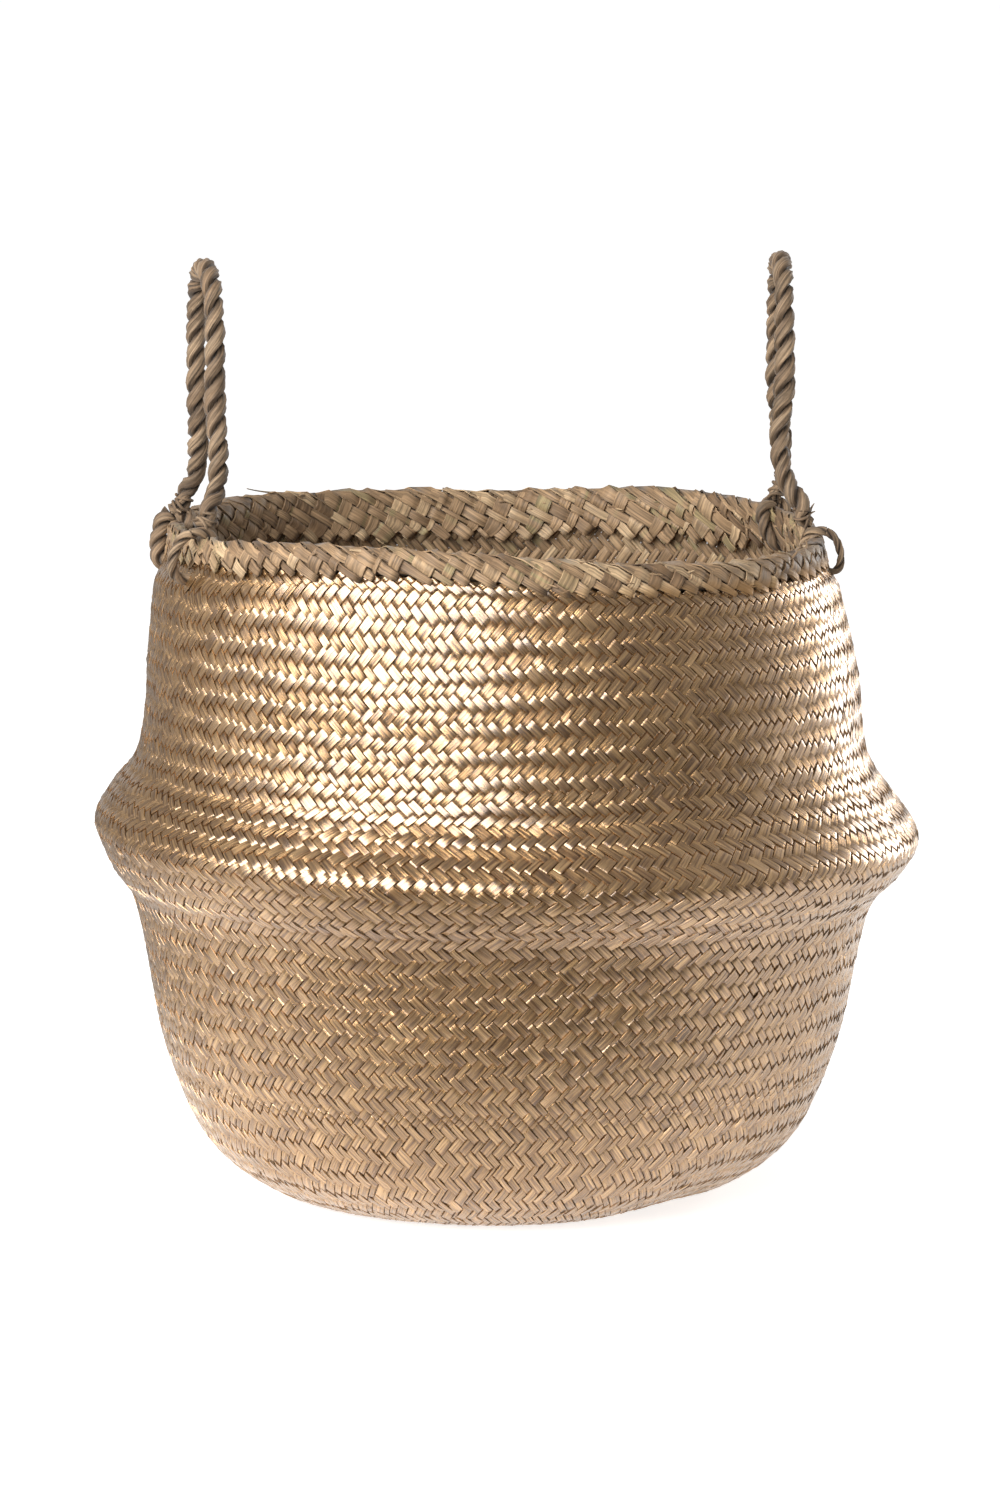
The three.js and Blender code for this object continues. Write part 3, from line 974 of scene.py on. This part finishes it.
def handle_path(handles, side):
    """A handle's rope: up from the rim, over the grip and down, with a small turn of the grip."""
    turn, out_first, out_last, inward = GRIPS[side]
    half = handles.grip_width / MM / 2
    eye_x, eye_y = RIM_MIDDLE * math.cos(EYE_ANGLE), RIM_MIDDLE * math.sin(EYE_ANGLE)
    leg_x = eye_x - LEG_INSET
    spring = RIM_TOP + HANDLE_RISE - handles.diameter / MM / 2 - half
    # The end lies over the rim's top, where it goes over into the eye
    foot = [(2.4 - inward, 290.4), (-3.0 - 0.5 * inward, 292.4), (-7.2, 297.5)]
    leg = [(eye_x * (1 + u / RIM_MIDDLE), eye_y * (1 + u / RIM_MIDDLE), z) for u, z in foot]
    leg += [(leg_x + 0.8, eye_y - 6.5, 305), (leg_x - 0.6, half + 3.5, 320)]
    leg += [(leg_x, half, 340), (leg_x, half, spring)]
    arch = [(leg_x, half * math.cos(q), spring + half * math.sin(q)) for q in np.radians([45, 90, 135])]
    far = [(x, -y, z) for x, y, z in reversed(leg)]
    points = []
    for number, (x, y, z) in enumerate([*leg, *arch, *far]):
        share = np.clip((z - 296) / 20, 0, 1)
        c, s = math.cos(turn * share), math.sin(turn * share)
        near = np.clip((z - 289) / 6, 0, 1) * np.clip((336 - z) / 26, 0, 1)
        dx = x - leg_x + near * (out_first if number < len(leg) else out_last)
        points.append((leg_x + dx * c - y * s, dx * s + y * c, z))
    return placed(points, side)


def eye_path(side, where, end):
    """The rope's end, laced round the rim through the wall."""
    middle, reach, half, _ = EYES[f"{side}_{where}"]
    points = []
    for q in np.radians(np.arange(70, 431, 20)):
        far = RIM_MIDDLE + middle + reach * math.cos(q)
        high = EYE_MIDDLE + half * math.copysign(abs(math.sin(q)) ** 0.9, math.sin(q))
        swing = end * (EYE_ANGLE + 0.02 * math.sin(q))
        points.append((far * math.cos(swing), far * math.sin(swing), high))
    return placed(points, side)


class BASKET_OT_handles(bpy.types.Operator):
    """Twists the two rope handles, with the eyes that lace them to the rim"""

    bl_idname = "basket.handles"
    bl_label = "Rope handles"

    def execute(self, context):
        handles = context.scene.basket_handles
        finish = finish_of("twisted_rush_rope")
        radius, thin = handles.diameter / MM / 2, handles.eye_diameter / MM / 2
        foot = [thin * 0.9, radius * 0.85]
        sizes = [*foot, *[radius] * 26, *foot[::-1]]
        for number, side in enumerate(("right", "left")):
            out = Strands()
            laid_rope(out, handle_path(handles, side), sizes, handles.lay / MM, 300 + number)
            made = out.piece(f"{side}_rope", finish, 20.0)
            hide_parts(f"{side}_handle_rope")
            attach(made, f"handle_{side}")
            for where, end in ends_of(side):
                out = Strands()
                thick = [thin * EYES[f"{side}_{where}"][3]] * 4
                laid_rope(out, eye_path(side, where, end), thick, EYE_LAY, 330 + number * 2 + end, 0.7)
                made = out.piece(f"{side}_eye_{where}", finish, 20.0)
                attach(made, "upper")
        return {"FINISHED"}


LASHING_MIDDLE = 5.5
LASHING_LENGTH = 8.0
LASHING_TURNS = 3.5
LASHING_STEPS = 90


class BASKET_OT_lashings(bpy.types.Operator):
    """Winds the lashings that close the eyes on the rope's legs"""

    bl_idname = "basket.lashings"
    bl_label = "Lashings"

    def execute(self, context):
        handles = context.scene.basket_handles
        radius = handles.diameter / MM / 2
        for side in ("right", "left"):
            path, along = smooth_path(handle_path(handles, side))
            for where, end in ends_of(side):
                draw = np.random.default_rng(500 + end + len(side))
                middle = LASHING_MIDDLE if end > 0 else along[-1] - LASHING_MIDDLE
                lines = self.wound(path, along, middle, radius, draw)
                out = Strands()
                for number, line in enumerate(lines):
                    width = np.linspace(*((0.7, 0.7) if number == 0 else (0.6, 0.2)), len(line))
                    tube(out, line, frames(line), width, travel(line), sides=7, tint=draw.uniform(0.3, 1))
                made = out.piece(f"{side}_lashing_wound_{where}", finish_of("twisted_rush_rope"), 20.0)
                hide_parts(f"{side}_lashing_{where}")
                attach(made, f"handle_{side}")
        return {"FINISHED"}

    def wound(self, path, along, middle, radius, draw):
        """One strand wound round the rope's leg, and the loose tails that stand off it."""
        share = np.linspace(0, 1, LASHING_STEPS)
        at = middle + (share - 0.5) * LASHING_LENGTH + 0.8 * np.sin(share * 17)
        centre, a, b = (read(table, along, at) for table in (path, *frames(path)))
        phase = share * LASHING_TURNS * TURN
        away = radius * 0.72 + 0.3 + 0.35 * np.sin(phase * 0.5 + 1) + draw.normal(0, 0.06, LASHING_STEPS)
        wind = centre + away[:, None] * (np.cos(phase)[:, None] * a + np.sin(phase)[:, None] * b)
        lines = [wind]
        q = np.linspace(0, 1, 8)[:, None]
        for _ in range(5):
            root = wind[draw.integers(10, LASHING_STEPS - 10)]
            way = draw.normal(0, 1, 3) + (root - centre[LASHING_STEPS // 2]) * 0.35
            way /= np.linalg.norm(way)
            reach = draw.uniform(2, 5)
            drop = np.array([0, 0, -1]) * draw.uniform(0, 0.5)
            lines.append(root + way * reach * q + drop * reach * q**2)
        return lines


# Stage

# Towards the white backdrop, which stands behind and to the right
BACKDROP = (0.75, 0.66, 0)
# Away from the camera along the floor, and towards the near right
AWAY = (0.198, 0.98, 0)
NEAR_RIGHT = (0.7, -0.7, 0)
CAMERA_AZIMUTH = math.radians(-11.4)
CAMERA_DISTANCE = 2.65
CAMERA_HEIGHT = 0.554
AIM_HEIGHT = 0.189
AIM_ASIDE = 0.0018
LAMP_DISTANCE = 2.0
LAMP_AIM = Vector((0, 0, 0.18))
FLOOR_REACH = 30
WHITE = (1, 1, 1, 1)
# The rays that see the white background
BACKGROUND_RAYS = ("Is Camera Ray", "Is Glossy Ray", "Is Transmission Ray")
# The lamps: width and height, then azimuth from the front and height above the floor, in degrees
LAMPS = {"key": (2.5, 1.4, -46, 25), "side": (1.0, 1.2, -95, 2), "edge": (0.6, 1.2, 123, 4)}


def seen_by(tree, rays, level=1.0, other=0.0):
    """At least level for the named kinds of ray, and other for the rest."""
    path = add_node(tree, "ShaderNodeLightPath")
    for ray in rays:
        own = {0: path.outputs[ray], 1: level}
        own = add_node(tree, "ShaderNodeMath", own, operation="MULTIPLY").outputs[0]
        other = add_node(tree, "ShaderNodeMath", {0: other, 1: own}, operation="MAXIMUM").outputs[0]
    return other


def graded(tree, place, way, reach, levels):
    """A number that runs over the levels, within the reach along a way."""
    far = add_node(tree, "ShaderNodeVectorMath", {0: place, 1: way}, operation="DOT_PRODUCT")
    limits = {"From Min": reach[0], "From Max": reach[1], "To Min": levels[0], "To Max": levels[1]}
    limits["Value"] = far.outputs["Value"]
    return add_node(tree, "ShaderNodeMapRange", limits).outputs["Result"]


class BASKET_OT_studio(bpy.types.Operator):
    """Sets the white floor, the surroundings, the lamps and the camera"""

    bl_idname = "basket.studio"
    bl_label = "Studio"

    def execute(self, context):
        scene = context.scene
        studio = scene.basket_studio
        scene.view_settings.view_transform = "Standard"
        self.camera(scene, studio.lens)
        self.floor(scene)
        self.surroundings(scene, studio.fill)
        for name, shape in LAMPS.items():
            self.lamp(scene, f"{name}_soft_box", getattr(studio, name), *shape)
        return {"FINISHED"}

    def camera(self, scene, length_mm):
        """The camera, a little above the rim."""
        right = Vector((math.cos(CAMERA_AZIMUTH), math.sin(CAMERA_AZIMUTH), 0))
        back = Vector((math.sin(CAMERA_AZIMUTH), -math.cos(CAMERA_AZIMUTH), 0))
        eye = back * CAMERA_DISTANCE + Vector((0, 0, CAMERA_HEIGHT))
        aim = right * AIM_ASIDE + Vector((0, 0, AIM_HEIGHT))
        lens = bpy.data.cameras.new("camera")
        lens.lens = length_mm
        lens.sensor_width = 36
        lens.clip_start, lens.clip_end = 0.05, 50
        camera = bpy.data.objects.new("camera", lens)
        camera.location = eye
        camera.rotation_euler = (aim - eye).to_track_quat("-Z", "Y").to_euler()
        scene.collection.objects.link(camera)
        scene.camera = camera

    def lamp(self, scene, name, power, width, height, azimuth, elevation):
        """A soft box that is turned to the basket."""
        lamp = bpy.data.lights.new(name, "AREA")
        lamp.shape = "RECTANGLE"
        lamp.size, lamp.size_y = width, height
        lamp.energy = power
        made = bpy.data.objects.new(name, lamp)
        a, e = math.radians(azimuth), math.radians(elevation)
        back = Vector((math.sin(a) * math.cos(e), -math.cos(a) * math.cos(e), math.sin(e)))
        made.location = LAMP_AIM + back * LAMP_DISTANCE
        made.rotation_euler = back.to_track_quat("Z", "Y").to_euler()
        scene.collection.objects.link(made)

    def floor(self, scene):
        """A white paper sweep: matt, and white to the eye where nothing shades it."""
        mesh = bpy.data.meshes.new("floor")
        corners = [(x * FLOOR_REACH, y * FLOOR_REACH, 0) for x, y in ((-1, -1), (1, -1), (1, 1), (-1, 1))]
        mesh.from_pydata(corners, [], [(0, 1, 2, 3)])
        made = bpy.data.objects.new("floor", mesh)
        scene.collection.objects.link(made)
        # What the lacquer mirrors of it grows dimmer towards the room in front, and to the far left
        material, tree = blank("white_paper_sweep")
        place = add_node(tree, "ShaderNodeNewGeometry").outputs["Position"]
        front = graded(tree, place, AWAY, (-0.32, -0.1), (0.05, 0.7))
        left = graded(tree, place, NEAR_RIGHT, (-0.45, -0.1), (0.3, 1.0))
        shown = add_node(tree, "ShaderNodeMath", {0: front, 1: left}, operation="MULTIPLY").outputs[0]
        shown = seen_by(tree, ("Is Camera Ray", "Is Transmission Ray"), 0.76, shown)
        paper = {"Base Color": shown, "Roughness": 0.9, "Specular IOR Level": 0.1}
        paper = add_node(tree, "ShaderNodeBsdfPrincipled", paper).outputs[0]
        white = add_node(tree, "ShaderNodeEmission", {"Color": WHITE, "Strength": shown}).outputs[0]
        bounce = add_node(tree, "ShaderNodeEmission", {"Strength": 0.6}).outputs[0]
        glow = {0: seen_by(tree, BACKGROUND_RAYS), 1: bounce, 2: white}
        glow = add_node(tree, "ShaderNodeMixShader", glow).outputs[0]
        both = add_node(tree, "ShaderNodeAddShader", {0: paper, 1: glow}).outputs[0]
        add_node(tree, "ShaderNodeOutputMaterial", {"Surface": both})
        mesh.materials.append(material)

    def surroundings(self, scene, fill):
        """Even light, and a white backdrop that only the eye and shiny things see."""
        world = bpy.data.worlds.new("white_studio")
        scene.world = world
        world.use_nodes = True
        tree = world.node_tree
        tree.nodes.clear()
        # The white backdrop stands behind; what the lacquer mirrors of the room in front is dimmer
        way = add_node(tree, "ShaderNodeTexCoord").outputs["Generated"]
        shown = graded(tree, way, BACKDROP, (0.35, 0.95), (0.32, 1.0))
        shown = seen_by(tree, ("Is Camera Ray", "Is Transmission Ray"), 1.0, shown)
        even = add_node(tree, "ShaderNodeBackground", {"Color": WHITE, "Strength": fill}).outputs[0]
        white = add_node(tree, "ShaderNodeBackground", {"Color": WHITE, "Strength": shown}).outputs[0]
        mixed = {0: seen_by(tree, BACKGROUND_RAYS), 1: even, 2: white}
        mixed = add_node(tree, "ShaderNodeMixShader", mixed).outputs[0]
        add_node(tree, "ShaderNodeOutputWorld", {"Surface": mixed})


class BASKET_PT_panel(bpy.types.Panel):
    """Sizes, colours and pieces of the basket"""

    bl_idname = "BASKET_PT_panel"
    bl_label = "Plaited basket"
    bl_space_type = "VIEW_3D"
    bl_region_type = "UI"
    bl_category = "Basket"

    def draw(self, context):
        for group, kind in GROUPS.items():
            box = self.layout.box()
            box.label(text=kind.__doc__)
            for name in kind.__annotations__:
                box.prop(getattr(context.scene, group), name)
        for operator in OPERATORS:
            self.layout.operator(operator.bl_idname)


GROUPS = {
    "basket_plait": BasketPlait,
    "basket_rim": BasketRim,
    "basket_handles": BasketHandles,
    "basket_colours": BasketColours,
    "basket_studio": BasketStudio,
}
OPERATORS = [
    BASKET_OT_base,
    BASKET_OT_body,
    BASKET_OT_rim,
    BASKET_OT_handles,
    BASKET_OT_lashings,
    BASKET_OT_studio,
]


def register():
    for kind in [*GROUPS.values(), *OPERATORS, BASKET_PT_panel]:
        bpy.utils.register_class(kind)
    for name, kind in GROUPS.items():
        setattr(bpy.types.Scene, name, PointerProperty(type=kind))


def unregister():
    for name in GROUPS:
        delattr(bpy.types.Scene, name)
    for kind in reversed([*GROUPS.values(), *OPERATORS, BASKET_PT_panel]):
        bpy.utils.unregister_class(kind)


def main():
    register()
    bpy.ops.basket.studio()
    bpy.ops.basket.base()
    bpy.ops.basket.body()
    bpy.ops.basket.rim()
    bpy.ops.basket.handles()
    bpy.ops.basket.lashings()


if __name__ == "__main__":
    main()
